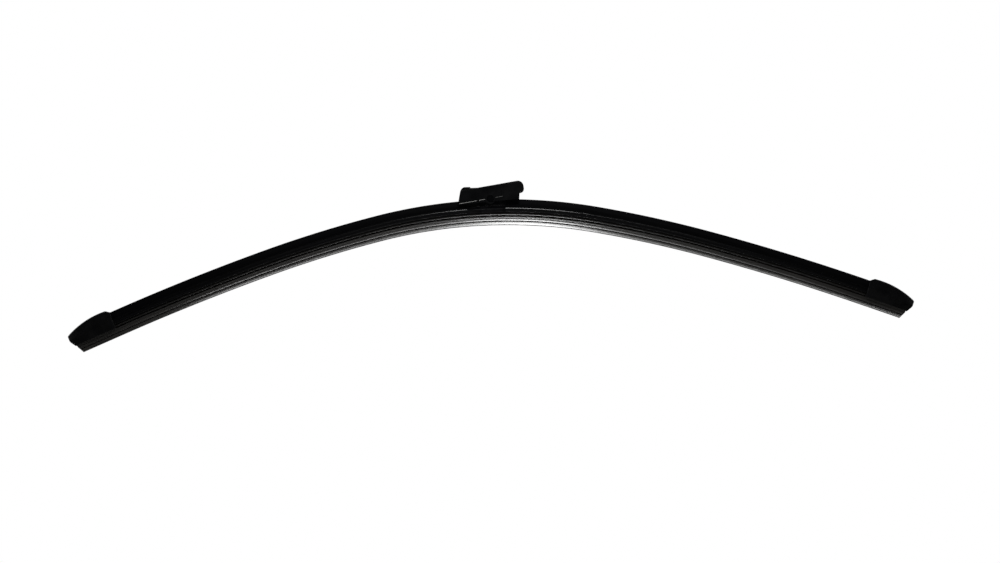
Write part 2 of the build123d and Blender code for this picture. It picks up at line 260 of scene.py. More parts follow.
def finished(
    obj: bpy.types.Object,
    name: str,
    sharp: float,
    cutters: list[bpy.types.Object] | None = None,
) -> bpy.types.Object:
    """Turn an object with modifiers into a plain mesh piece and remove what made it.

    Args:
        obj: Object with its modifiers on.
        name: Name of the finished piece.
        sharp: Angle in degrees past which an edge stays sharp.
        cutters: Prisms that the modifiers took out, where there are any.

    Returns:
        The finished piece, at the origin.
    """
    graph = bpy.context.evaluated_depsgraph_get()
    mesh = bpy.data.meshes.new_from_object(obj.evaluated_get(graph), depsgraph=graph)
    for used in (obj, *(cutters or [])):
        bpy.data.objects.remove(used)
    cleaned(mesh)
    mesh.shade_smooth()
    mesh.set_sharp_from_angle(angle=math.radians(sharp))
    mesh.name = name
    piece = bpy.data.objects.new(name, mesh)
    bpy.context.scene.collection.objects.link(piece)
    return piece


def paint(obj: bpy.types.Object, material: bpy.types.Material) -> None:
    """Give an object one material all over."""
    obj.data.materials.clear()
    obj.data.materials.append(material)


def stand_in(piece: bpy.types.Object, node: str, body: Body) -> bpy.types.Object:
    """Let a finished piece stand for a solid.

    Args:
        piece: The finished piece.
        node: Name of the solid.
        body: Body that the piece rides on.

    Returns:
        The same piece.
    """
    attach(piece, body.value)
    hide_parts(node)
    return piece


@dataclass(frozen=True)
class Bow:
    """Line of the wiping edge, bent in three radii from the middle outwards and then straight."""

    reaches: Point3 = (80.0, 85.0, 120.0)
    radii: Point3 = (379.0, 909.0, 1743.0)
    middle: Point = (-3.25, -19.97)

    def at(self, station: float) -> Point3:
        """Find a place on the wiping edge.

        Args:
            station: Length along the edge from the middle of the blade.

        Returns:
            X, Z and the slope down to the right, in millimetres and radians.
        """
        x, z, slope, left = 0.0, 0.0, 0.0, abs(station)
        for reach, radius in zip(self.reaches, self.radii):
            step = min(left, reach)
            left -= step
            turn = slope + step / radius
            x += radius * (math.sin(turn) - math.sin(slope))
            z += radius * (math.cos(turn) - math.cos(slope))
            slope = turn
        x += left * math.cos(slope)
        z -= left * math.sin(slope)
        side = math.copysign(1.0, station)
        return side * x + self.middle[0], z + self.middle[1], side * slope

    def place(self, station: float, across: float, height: float) -> Vector:
        """Place a section point at a station, in metres."""
        x, z, slope = self.at(station)
        return Vector((x + height * math.sin(slope), across, z + height * math.cos(slope))) * MM

    def strip_tree(self) -> bpy.types.GeometryNodeTree:
        """Build the tree that sweeps a section loop along the bow.

        The section comes in as a closed loop of edges whose points carry their across and height
        values. A straight run of stations is swept first and then bent to the bow.

        Returns:
            A tree with inputs for the stations, the raked ends, the bow and the finishes.
        """
        tree = bpy.data.node_groups.new("strip along the bow", "GeometryNodeTree")
        face = tree.interface
        face.new_socket("Section", in_out="INPUT", socket_type="NodeSocketGeometry")
        sizes = ["Start", "End", "Step", "End Rake", "Rake Top", "Rake Reach"]
        sizes += ["Middle X", "Middle Z", "Split"]
        sizes += [f"{what} {k}" for k in (1, 2, 3) for what in ("Reach", "Radius")]
        for size in sizes:
            face.new_socket(size, in_out="INPUT", socket_type="NodeSocketFloat")
        for finish in ("Finish", "Lower Finish"):
            face.new_socket(finish, in_out="INPUT", socket_type="NodeSocketMaterial")
        face.new_socket("Strip", in_out="OUTPUT", socket_type="NodeSocketGeometry")
        given = add_node(tree, "NodeGroupInput").outputs

        first, last = (add_node(tree, "ShaderNodeCombineXYZ", inputs={0: given[name]})
                       for name in ("Start", "End"))
        run = add_node(tree, "GeometryNodeCurvePrimitiveLine", inputs={"Start": first, "End": last})
        run = add_node(tree, "GeometryNodeResampleCurve", {"mode": "LENGTH"}, {
            "Curve": run, "Length": given["Step"]})
        where = add_node(tree, "ShaderNodeSeparateXYZ", inputs={
            0: add_node(tree, "GeometryNodeInputPosition")})
        run = add_node(
            tree, "GeometryNodeStoreNamedAttribute", {"data_type": "FLOAT", "domain": "POINT"},
            {"Geometry": run, "Name": "station", "Value": where.outputs["X"]})
        loop = add_node(tree, "GeometryNodeMeshToCurve", inputs={"Mesh": given["Section"]})
        swept = add_node(tree, "GeometryNodeCurveToMesh", inputs={
            "Curve": run, "Profile Curve": loop, "Fill Caps": True})

        # Values by name. Each line of the table is one sum on the way to the bent place.
        values: dict[Any, Any] = {size: given[size] for size in sizes}
        for name in ("station", "across", "height"):
            values[name] = add_node(
                tree, "GeometryNodeInputNamedAttribute", {"data_type": "FLOAT"}, {"Name": name})
        values |= {"slope 0": 0.0, "sine 0": 0.0, "cosine 0": 1.0, "x 0": 0.0, "z 0": 0.0}
        sums: list[tuple[Any, ...]] = [
            ("side", "SIGN", "station"),
            ("far", "ABSOLUTE", "station"),
            ("first", "ABSOLUTE", "Start"),
            ("last", "ABSOLUTE", "End"),
            ("tip", "MAXIMUM", "first", "last"),
            ("rake start", "SUBTRACT", "tip", "Rake Reach"),
            ("into rake", "SUBTRACT", "far", "rake start"),
            ("rake share", "DIVIDE", "into rake", "Rake Reach"),
            ("near end", "MAXIMUM", "rake share", 0.0),
            ("risen", "DIVIDE", "height", "Rake Top"),
            ("under", "SUBTRACT", 1.0, "risen"),
            ("below", "MAXIMUM", "under", 0.0),
            ("most", "MULTIPLY", "near end", "End Rake"),
            ("cut", "MULTIPLY", "below", "most"),
            ("left 0", "SUBTRACT", "far", "cut"),
        ]
        for k in (1, 2, 3):
            sums += [
                (f"step {k}", "MINIMUM", f"left {k - 1}", f"Reach {k}"),
                (f"left {k}", "SUBTRACT", f"left {k - 1}", f"step {k}"),
                (f"turn {k}", "DIVIDE", f"step {k}", f"Radius {k}"),
                (f"slope {k}", "ADD", f"turn {k}", f"slope {k - 1}"),
                (f"sine {k}", "SINE", f"slope {k}"),
                (f"cosine {k}", "COSINE", f"slope {k}"),
                (f"ahead {k}", "SUBTRACT", f"sine {k}", f"sine {k - 1}"),
                (f"down {k}", "SUBTRACT", f"cosine {k}", f"cosine {k - 1}"),
                (f"x {k}", "MULTIPLY_ADD", f"ahead {k}", f"Radius {k}", f"x {k - 1}"),
                (f"z {k}", "MULTIPLY_ADD", f"down {k}", f"Radius {k}", f"z {k - 1}"),
            ]
        sums += [
            ("edge x", "MULTIPLY_ADD", "left 3", "cosine 3", "x 3"),
            ("straight fall", "MULTIPLY", "left 3", "sine 3"),
            ("edge z", "SUBTRACT", "z 3", "straight fall"),
            ("lifted x", "MULTIPLY_ADD", "height", "sine 3", "edge x"),
            ("lifted z", "MULTIPLY_ADD", "height", "cosine 3", "edge z"),
            ("x", "MULTIPLY_ADD", "lifted x", "side", "Middle X"),
            ("z", "ADD", "lifted z", "Middle Z"),
        ]
        for name, operation, *terms in sums:
            values[name] = add_node(tree, "ShaderNodeMath", {"operation": operation}, {
                i: values.get(term, term) for i, term in enumerate(terms)})
        place = add_node(tree, "ShaderNodeCombineXYZ", inputs={
            i: values[name] for i, name in enumerate(("x", "across", "z"))})
        bent = add_node(tree, "GeometryNodeSetPosition", inputs={
            "Geometry": swept, "Position": place})
        low = add_node(
            tree, "FunctionNodeCompare", {"data_type": "FLOAT", "operation": "LESS_THAN"},
            {0: values["height"], 1: given["Split"]})
        solid = add_node(tree, "GeometryNodeRealizeInstances", inputs={"Geometry": bent})
        dressed = add_node(tree, "GeometryNodeSetMaterial", inputs={
            "Geometry": solid, "Material": given["Finish"]})
        dressed = add_node(tree, "GeometryNodeSetMaterial", inputs={
            "Geometry": dressed, "Selection": low, "Material": given["Lower Finish"]})
        add_node(tree, "NodeGroupOutput", inputs={"Strip": dressed})
        return tree

    def strip(
        self,
        name: str,
        section: list[Point],
        stations: Point,
        step: float,
        tree: bpy.types.GeometryNodeTree,
        finish: bpy.types.Material,
        lower: bpy.types.Material | None = None,
        split: float = -1.0,
        rake: Point3 = (0.0, 1.0, 1.0),
    ) -> bpy.types.Object:
        """Sweep a section along the bow.

        Args:
            name: Name of the piece.
            section: Closed outline as (across, height).
            stations: First and last station.
            step: Length of one segment along the bow.
            tree: Tree from strip_tree.
            finish: Material of the piece.
            lower: Material below the split, where the piece has a second one.
            split: Height below which that second material starts.
            rake: How far the ends are cut back at the wiping edge, the height where the cut starts,
                and the length of strip that it takes up.

        Returns:
            The swept piece as a plain mesh.
        """
        count = len(section)
        points = [Vector((y, h, 0.0)) * MM for y, h in section]
        loop = mesh_object(
            name + "_section", points, [], [(i, (i + 1) % count) for i in range(count)])
        around, length = [], 0.0
        for i, point in enumerate(section):
            length += (Vector(point) - Vector(section[i - 1])).length if i else 0.0
            around.append(length * MM)
        carried = {
            "across": [y * MM for y, _ in section],
            "height": [h * MM for _, h in section],
            "around": around,
        }
        for label, values in carried.items():
            loop.data.attributes.new(label, "FLOAT", "POINT").data.foreach_set("value", values)
        modifier = loop.modifiers.new("strip", "NODES")
        modifier.node_group = tree
        sizes = dict(zip(("Start", "End"), stations))
        sizes |= dict(zip(("End Rake", "Rake Top", "Rake Reach"), rake))
        sizes |= dict(zip(("Middle X", "Middle Z"), self.middle))
        sizes |= {"Step": step, "Split": split}
        for k, (reach, radius) in enumerate(zip(self.reaches, self.radii), 1):
            sizes |= {f"Reach {k}": reach, f"Radius {k}": radius}
        for item in tree.interface.items_tree:
            if item.name in sizes:
                modifier[item.identifier] = sizes[item.name] * MM
            elif item.name == "Finish":
                modifier[item.identifier] = finish
            elif item.name == "Lower Finish" and lower:
                modifier[item.identifier] = lower
        return finished(loop, name, sharp=35.0)


@dataclass(frozen=True)
class Finish:
    """One material: its base values, and how its patterns vary them.

    The tint span has the pattern values where the tint starts and is strongest, and its share
    there. The rough span has the pattern values of the smoothest and the roughest places, and what
    each adds to the roughness. The relief is the strength of the bump and its depth, and it is sunk
    where a high pattern value lies deep.
    """

    name: str
    colour: str
    roughness: float
    specular: float = 0.5
    metallic: float = 0.0
    coat: float = 0.0
    coat_roughness: float = 0.2
    coat_ior: float = 1.5
    tint: str = "#000000"
    tint_span: Point3 = (0.45, 0.8, 0.7)
    rough_span: Span = (0.3, 0.7, -0.08, 0.08)
    relief: Point = (0.2, 0.05)
    sunk: bool = False

    def material(self) -> bpy.types.Material:
        """Make the material.

        Returns:
            A node material with this finish's pattern on its shader.
        """
        material = bpy.data.materials.new(self.name)
        material.use_nodes = True
        tree = material.node_tree
        tree.nodes.clear()
        shader = add_node(tree, "ShaderNodeBsdfPrincipled", inputs={
            "Base Color": linear(self.colour),
            "Roughness": self.roughness,
            "Metallic": self.metallic,
            "Specular IOR Level": self.specular,
            "Coat Weight": self.coat,
            "Coat Roughness": self.coat_roughness,
            "Coat IOR": self.coat_ior,
        })
        add_node(tree, "ShaderNodeOutputMaterial", inputs={"Surface": shader})
        self.pattern(tree, shader)
        return material

    def pattern(self, tree: bpy.types.NodeTree, shader: bpy.types.Node) -> None:
        """Add this finish's pattern to the shader; a plain finish has none."""

    def vary(
        self,
        tree: bpy.types.NodeTree,
        shader: bpy.types.Node,
        clouds: bpy.types.NodeSocket,
        grain: bpy.types.NodeSocket,
    ) -> None:
        """Tint the colour by one pattern, and vary the roughness and the relief by another.

        Args:
            tree: The material's tree.
            shader: Its Principled shader.
            clouds: Pattern that the tint follows.
            grain: Pattern that the roughness and the relief follow.
        """
        start, full, most = self.tint_span
        share = add_node(tree, "ShaderNodeMapRange", inputs={
            "Value": clouds, "From Min": start, "From Max": full, "To Min": 0.0, "To Max": most})
        colour = add_node(tree, "ShaderNodeMix", {"data_type": "RGBA"}, {
            "Factor": share, 6: linear(self.colour), 7: linear(self.tint)})
        tree.links.new(colour.outputs[2], shader.inputs["Base Color"])
        smooth, rough, less, more = self.rough_span
        roughness = add_node(tree, "ShaderNodeMapRange", inputs={
            "Value": grain, "From Min": smooth, "From Max": rough,
            "To Min": self.roughness + less, "To Max": self.roughness + more})
        tree.links.new(roughness.outputs[0], shader.inputs["Roughness"])
        strength, depth = self.relief
        if strength:
            bump = add_node(tree, "ShaderNodeBump", {"invert": self.sunk}, {
                "Strength": strength, "Distance": depth * MM, "Height": grain})
            tree.links.new(bump.outputs[0], shader.inputs["Normal"])


@dataclass(frozen=True)
class ExtrudedFinish(Finish):
    """Finish of an extruded strip, with the lines that the die leaves along it.

    The run is how far a line goes before it changes.
    """

    # Real die lines are about 0.05 mm apart. They are drawn coarser so that they show.
    spacing: float = 0.45
    run: float = 250.0
    detail: Point = (2.0, 0.6)

    def lines(self, tree: bpy.types.NodeTree) -> bpy.types.NodeSocket:
        """Draw the lines from the strip's own station and around values.

        Args:
            tree: The material's tree.

        Returns:
            The lines' values.
        """
        sizes = {"station": self.run, "around": self.spacing}
        parts = [
            add_node(tree, "ShaderNodeMath", {"operation": "MULTIPLY"}, {
                0: add_node(tree, "ShaderNodeAttribute", {"attribute_name": name}).outputs["Fac"],
                1: 1 / (size * MM)})
            for name, size in sizes.items()
        ]
        at = add_node(tree, "ShaderNodeCombineXYZ", inputs=dict(enumerate(parts)))
        octaves, roughness = self.detail
        noise = add_node(tree, "ShaderNodeTexNoise", {"noise_dimensions": "3D"}, {
            "Vector": at, "Scale": 1.0, "Detail": octaves, "Roughness": roughness})
        return noise.outputs["Fac"]


@dataclass(frozen=True)
class ExtrudedRubber(ExtrudedFinish):
    """Rubber with die lines, a cloudy bloom, graphite on its lower faces, and painted shade.

    Its table gives a share by height. It is the graphite's share, and it also paints shade: where
    it is low, in the grooves, the web gap and up under the claws, the colour is painted darker. The
    wear says where the graphite on the body starts to thin and where it is thinnest, and what is
    left of its sheen there.
    """

    tint: str = "#2c2a28"
    tint_span: Point3 = (0.12, 0.42, 0.8)
    rough_span: Span = (0.3, 0.7, -0.05, 0.07)
    relief: Point = (0.15, 0.05)
    bare_and_shaded: str = "#0b0b0b"
    bare_roughness: float = 0.62
    cloud: float = 28.0
    sheen_from: float = 0.5
    wear: Point3 = (150.0, 290.0, 0.05)
    lip_height: float = 3.0
    # Graphite by height, and painted shade: the low shares paint the grooves, the web gap and the
    # head under the claws darker.
    graphite_and_shade_table: tuple[Point, ...] = (
        (0.0, 1.0), (2.6, 1.0), (2.75, 0.1), (3.3, 0.1), (3.5, 1.0), (4.9, 1.0),
        (5.15, 0.5), (5.45, 0.5), (5.7, 0.9), (6.5, 0.8), (6.75, 0.0), (7.5, 0.0),
        (7.7, 0.7), (8.7, 0.6), (8.9, 0.0), (13.0, 0.0),
    )

    def pattern(self, tree: bpy.types.NodeTree, shader: bpy.types.Node) -> None:
        """Draw the graphite and painted shade by height, die lines that run with the strip, and
        bloom clouds.

        Args:
            tree: The material's tree.
            shader: Its Principled shader.
        """
        station, height = (
            add_node(tree, "ShaderNodeAttribute", {"attribute_name": name}).outputs["Fac"]
            for name in ("station", "height")
        )
        top = self.graphite_and_shade_table[-1][0]
        share = add_node(tree, "ShaderNodeMath", {"operation": "DIVIDE"}, {0: height, 1: top * MM})
        graphite_and_shade = add_node(tree, "ShaderNodeValToRGB", inputs={0: share})
        stops = graphite_and_shade.color_ramp.elements
        for at, level in self.graphite_and_shade_table[1:-1]:
            stops.new(at / top).color = (level, level, level, 1.0)
        for end in (0, -1):
            level = self.graphite_and_shade_table[end][1]
            stops[end].color = (level, level, level, 1.0)
        lines = self.lines(tree)
        clouds_at = add_node(tree, "ShaderNodeCombineXYZ", inputs={0: station, 1: height})
        clouds = add_node(tree, "ShaderNodeTexNoise", {"noise_dimensions": "3D"}, {
            "Vector": clouds_at, "Scale": 1 / (self.cloud * MM), "Detail": 3.0})
        both = add_node(tree, "ShaderNodeMath", {"operation": "MULTIPLY"}, {
            0: lines, 1: clouds.outputs["Fac"]})
        self.vary(tree, shader, both.outputs[0], lines)

        # Where the share is low, the rubber is painted bare and darker: painted shade in the
        # grooves and under the claws. A mix node's sockets go by number.
        for socket, kind, first, result, bare_and_shaded in (
            ("Base Color", "RGBA", 6, 2, linear(self.bare_and_shaded)),
            ("Roughness", "FLOAT", 2, 0, self.bare_roughness),
        ):
            coated = shader.inputs[socket].links[0].from_socket
            mix = add_node(tree, "ShaderNodeMix", {"data_type": kind}, {
                "Factor": graphite_and_shade, first: bare_and_shaded, first + 1: coated})
            tree.links.new(mix.outputs[result], shader.inputs[socket])

        sheen = add_node(tree, "ShaderNodeMapRange", inputs={
            "Value": graphite_and_shade, "From Min": 0.0, "From Max": self.sheen_from,
            "To Min": 0.0, "To Max": self.coat})
        start, end, left = self.wear
        worn = add_node(tree, "ShaderNodeMapRange", inputs={
            "Value": station, "From Min": start * MM, "From Max": end * MM,
            "To Min": 1.0, "To Max": left})
        body = add_node(tree, "ShaderNodeMath", {"operation": "GREATER_THAN"}, {
            0: height, 1: self.lip_height * MM})
        kept = add_node(tree, "ShaderNodeMix", {"data_type": "FLOAT"}, {
            "Factor": body, 2: 1.0, 3: worn})
        sheen = add_node(tree, "ShaderNodeMath", {"operation": "MULTIPLY"}, {0: sheen, 1: kept})
        tree.links.new(sheen.outputs[0], shader.inputs["Coat Weight"])


@dataclass(frozen=True)
class MattElastomer(ExtrudedFinish):
    """Co-extruded spoiler skin: near black, with a faint dusty drag along it."""

    tint: str = "#0f0f10"
    tint_span: Point3 = (0.45, 0.8, 0.55)
    relief: Point = (0.2, 0.06)
    # Real drag marks are about 0.1 mm wide. They are drawn coarser so that they show.
    spacing: float = 0.8
    run: float = 1000 / 9
    detail: Point = (3.0, 0.65)

    def pattern(self, tree: bpy.types.NodeTree, shader: bpy.types.Node) -> None:
        """Draw the dusty drag lines in colour, roughness and relief."""
        drag = self.lines(tree)
        self.vary(tree, shader, drag, drag)


@dataclass(frozen=True)
class GrainedPlastic(Finish):
    """Glass-filled nylon from a spark-eroded mould: pebbled grain and slightly shiny high spots."""

    tint: str = "#0d0d0e"
    tint_span: Point3 = (0.35, 0.75, 0.7)
    rough_span: Span = (0.1, 0.7, -0.08, 0.12)
    relief: Point = (0.25, 0.08)
    sunk: bool = True
    # The real grain is about 0.15 mm. It is drawn coarser so that it shows.
    grain: float = 0.7
    flow: float = 9.0

    def pattern(self, tree: bpy.types.NodeTree, shader: bpy.types.Node) -> None:
        """Draw the mould's grain, and the flow of the nylon in its colour.

        Args:
            tree: The material's tree.
            shader: Its Principled shader.
        """
        at = add_node(tree, "ShaderNodeTexCoord").outputs["Object"]
        pebbles = add_node(tree, "ShaderNodeTexVoronoi", {"feature": "SMOOTH_F1"}, {
            "Vector": at, "Scale": 1 / (self.grain * MM), "Smoothness": 0.6})
        flow = add_node(tree, "ShaderNodeTexNoise", inputs={
            "Vector": at, "Scale": 1 / (self.flow * MM), "Detail": 3.0})
        self.vary(tree, shader, flow.outputs["Fac"], pebbles.outputs["Distance"])


@dataclass(frozen=True)
class NylonWithPaintedHighlight(GrainedPlastic):
    """The adapter's nylon, with a painted highlight: a pale line along the outer edge of its ledge.

    The ledge is where the line starts across, and its lower and upper level. The line fades over a
    stretch at the pin to its front share.
    """

    # A finer mould than the caps', with a grain of about 0.1 mm. It is drawn coarser too.
    grain: float = 0.5
    painted_highlight: str = "#8d8d8b"
    tilt: float = 7.6
    ledge: Point3 = (6.0, 0.02, 0.4)
    ledge_ends: Point = (-23.3, 9.2)
    patch: float = 1.5
    patch_span: Span = (0.2, 0.6, 0.35, 1.0)
    fade: Point = (-4.0, 4.0)
    front_share: float = 0.32

    def pattern(self, tree: bpy.types.NodeTree, shader: bpy.types.Node) -> None:
        """Draw the grain, and over it the painted highlight line in the adapter's own along and up
        values.

        Args:
            tree: The material's tree.
            shader: Its Principled shader.
        """
        super().pattern(tree, shader)
        at = add_node(tree, "ShaderNodeTexCoord").outputs["Object"]
        level = add_node(tree, "ShaderNodeMapping", inputs={
            "Vector": at, "Rotation": (0.0, math.radians(self.tilt), 0.0)})
        along, side, up = add_node(tree, "ShaderNodeSeparateXYZ", inputs={0: level}).outputs
        across = add_node(tree, "ShaderNodeMath", {"operation": "ABSOLUTE"}, {0: side})
        noise = add_node(tree, "ShaderNodeTexNoise", inputs={
            "Vector": at, "Scale": 1 / (self.patch * MM), "Detail": 2.0})
        thin, thick, least, most = self.patch_span
        share = add_node(tree, "ShaderNodeMapRange", inputs={
            "Value": noise.outputs["Fac"], "From Min": thin, "From Max": thick,
            "To Min": least, "To Max": most})
        faded = add_node(tree, "ShaderNodeMapRange", inputs={
            "Value": along, "From Min": self.fade[0] * MM, "From Max": self.fade[1] * MM,
            "To Min": 1.0, "To Max": self.front_share})
        share = add_node(tree, "ShaderNodeMath", {"operation": "MULTIPLY"}, {0: share, 1: faded})
        out, low, high = self.ledge
        back, front = self.ledge_ends
        for value, test, limit in (
            (across, "GREATER_THAN", out),
            (up, "GREATER_THAN", low),
            (up, "LESS_THAN", high),
            (along, "GREATER_THAN", back),
            (along, "LESS_THAN", front),
        ):
            inside = add_node(tree, "ShaderNodeMath", {"operation": test}, {
                0: value, 1: limit * MM})
            share = add_node(tree, "ShaderNodeMath", {"operation": "MULTIPLY"}, {
                0: share, 1: inside})
        # Painted highlight: the pale colour is mixed in along the ledge's outer edge.
        plain = shader.inputs["Base Color"].links[0].from_socket
        colour = add_node(tree, "ShaderNodeMix", {"data_type": "RGBA"}, {
            "Factor": share, 6: plain, 7: linear(self.painted_highlight)})
        tree.links.new(colour.outputs[2], shader.inputs["Base Color"])


@dataclass(frozen=True)
class CoatedSteel(Finish):
    """Pressed steel with a dipped black coat: soft orange peel and thinner, paler patches."""

    tint: str = "#121213"
    rough_span: Span = (0.3, 0.7, -0.06, 0.08)
    peel: float = 1.1
    patch: float = 6.0

    def pattern(self, tree: bpy.types.NodeTree, shader: bpy.types.Node) -> None:
        """Draw the coat's orange peel and its thinner, paler places.

        Args:
            tree: The material's tree.
            shader: Its Principled shader.
        """
        at = add_node(tree, "ShaderNodeTexCoord").outputs["Object"]
        patches, peel = (
            add_node(tree, "ShaderNodeTexNoise", inputs={
                "Vector": at, "Scale": 1 / (size * MM), "Detail": detail}).outputs["Fac"]
            for size, detail in ((self.patch, 2.0), (self.peel, 1.5))
        )
        self.vary(tree, shader, patches, peel)


@dataclass(frozen=True)
class DrawnSteel(Finish):
    """Bare or blackened steel with the marks of rolling or turning drawn out one way."""

    tint: str = "#a2a3a5"
    tint_span: Point3 = (0.3, 0.7, 1.0)
    rough_span: Span = (0.3, 0.7, -0.08, 0.1)
    relief: Point = (0.0, 0.0)
    # Real marks are about 0.02 mm wide. They are drawn coarser so that they show.
    mark: float = 0.4
    stretch: Point3 = (0.02, 1.0, 1.0)

    def pattern(self, tree: bpy.types.NodeTree, shader: bpy.types.Node) -> None:
        """Draw the drawn-out marks.

        Args:
            tree: The material's tree.
            shader: Its Principled shader.
        """
        at = add_node(tree, "ShaderNodeTexCoord").outputs["Object"]
        drawn = add_node(tree, "ShaderNodeMapping", inputs={"Vector": at, "Scale": self.stretch})
        marks = add_node(tree, "ShaderNodeTexNoise", inputs={
            "Vector": drawn, "Scale": 1 / (self.mark * MM), "Detail": 3.0, "Roughness": 0.6})
        self.vary(tree, shader, marks.outputs["Fac"], marks.outputs["Fac"])


@dataclass
class WipingStrip:
    """Rubber strip: lip, body, tilting web, stop ridge and the head that holds the rails."""

    bow: Bow
    end: float = 321.2
    step: float = 2.5
    rake: Point3 = (2.5, 5.4, 3.0)
    half: tuple[Corner, ...] = (
        (0.12, 0.0, 0.05), (0.4, 0.5, 0.1), (0.58, 1.2, 0.2), (0.95, 2.65, 0.12),
        (0.75, 2.95, 0.1), (1.91, 3.4, 0.2), (2.245, 4.95, 0.15), (2.07, 5.2, 0.1),
        (2.14, 5.5, 0.1), (2.405, 6.65, 0.2), (0.5, 6.75, 0.15), (0.5, 7.45, 0.15),
        (2.0, 7.55, 0.2), (2.19, 8.8, 0.2), (1.3, 8.9, 0.12), (1.3, 9.3, 0.12),
        (2.75, 9.35, 0.05), (2.8, 10.5, 0.15), (1.0, 10.5, 0.1), (1.0, 11.62, 0.1),
        (2.3, 11.62, 0.15), (2.3, 12.82, 0.3),
    )
    finish: Finish = field(default_factory=lambda: ExtrudedRubber(
        # Natural rubber, extruded and cut in two at the lip, then graphite coated: a soft grey
        # sheen with fine lines along it, brightest on the lip, and painted shade in its grooves and
        # under the claws.
        "extruded natural rubber", "#1d1c1b", 0.42, specular=0.08,
        coat=1.0, coat_roughness=0.16, coat_ior=1.7))

    def section(self) -> list[Point]:
        """Outline of the strip as (across, height)."""
        return rounded([*self.half, *((-y, h, r) for y, h, r in reversed(self.half))])

    def build(self, tree: bpy.types.GeometryNodeTree) -> bpy.types.Object:
        """Sweep the strip and let it stand for its solid.

        Args:
            tree: The bow's strip tree.

        Returns:
            The strip.
        """
        piece = self.bow.strip(
            "wiping_strip", self.section(), (-self.end, self.end), self.step, tree,
            self.finish.material(), rake=self.rake)
        return stand_in(piece, "wiping_rubber", Body.BLADE)


@dataclass
class Spoiler:
    """The two spoiler halves that claw onto the rails, with hollow flanks up to a ridge line."""

    bow: Bow
    start: float = 14.0
    end: float = 296.8
    step: float = 2.5
    foot_half: float = 6.02
    foot_level: float = 9.8
    foot_top: float = 13.12
    top: float = 19.42
    ridge_offset: float = 0.5
    ridge_width: float = 1.8
    ridge_crown: float = 0.5
    claw_round: float = 0.06
    foot_round: float = 0.9
    foot_ledge: Point = (0.8, 0.1)
    wind_hollow: float = 1.15
    lee_hollow: float = 0.95
    flank_chords: int = 14
    crown_chords: int = 6
    channel: tuple[Corner, ...] = (
        (3.66, 9.8, 0.15), (3.66, 10.5, 0.1), (5.12, 10.5, 0.1), (5.12, 11.62, 0.1),
        (2.6, 11.62, 0.1), (2.6, 13.12, 0.1),
    )
    split: float = 12.95
    finish: Finish = field(default_factory=lambda: MattElastomer(
        # Thermoplastic elastomer, extruded and left matt: near black, with a dull sheen
        # at a low angle.
        "extruded matt elastomer", "#040405", 0.6, specular=0.02))
    claw_finish: Finish = field(default_factory=lambda: MattElastomer(
        # Hard PVC, extruded in one with the elastomer: black and smooth, so that its edges
        # catch the light.
        "extruded hard pvc", "#040405", 0.24, specular=0.5, tint="#08080a", relief=(0.2, 0.004)))

    def form(self) -> list[Corner]:
        """Find the outside, from the wind side's foot over the ridge line to the lee side's foot.

        Returns:
            Its corners, with their radii.
        """
        half, top = self.foot_half, self.foot_top
        ledge, drop = self.foot_ledge
        wind, lee = (
            (self.ridge_offset + side.value * self.ridge_width / 2, self.top - self.ridge_crown)
            for side in Side
        )
        line = [
            *hollow((ledge - half, top), wind, -self.wind_hollow, self.flank_chords), wind,
            *hollow(wind, lee, self.ridge_crown, self.crown_chords), lee,
            *hollow(lee, (half - ledge, top), -self.lee_hollow, self.flank_chords),
        ]
        foot = [(self.foot_level, self.claw_round), (top - drop, self.foot_round)]
        return [
            *((-half, h, r) for h, r in foot),
            *((y, h, 0.0) for y, h in line),
            *((half, h, r) for h, r in reversed(foot)),
        ]

    def section(self) -> list[Point]:
        """Outline of a spoiler half with the channel that takes the rails."""
        far = [(-y, h, r) for y, h, r in reversed(self.channel)]
        return rounded([*self.form(), *self.channel, *far])

    def build(self, tree: bpy.types.GeometryNodeTree) -> list[bpy.types.Object]:
        """Sweep both halves and let them stand for their solids.

        Args:
            tree: The bow's strip tree.

        Returns:
            The left and the right half.
        """
        wing, claws = self.finish.material(), self.claw_finish.material()
        pieces = []
        for side in Side:
            start, end = sorted((side.value * self.start, side.value * self.end))
            node = f"{side.name.lower()}_spoiler"
            piece = self.bow.strip(
                f"{node}_skin", self.section(), (start, end), self.step, tree,
                wing, claws, self.split)
            pieces.append(stand_in(piece, node, Body.BLADE))
        return pieces


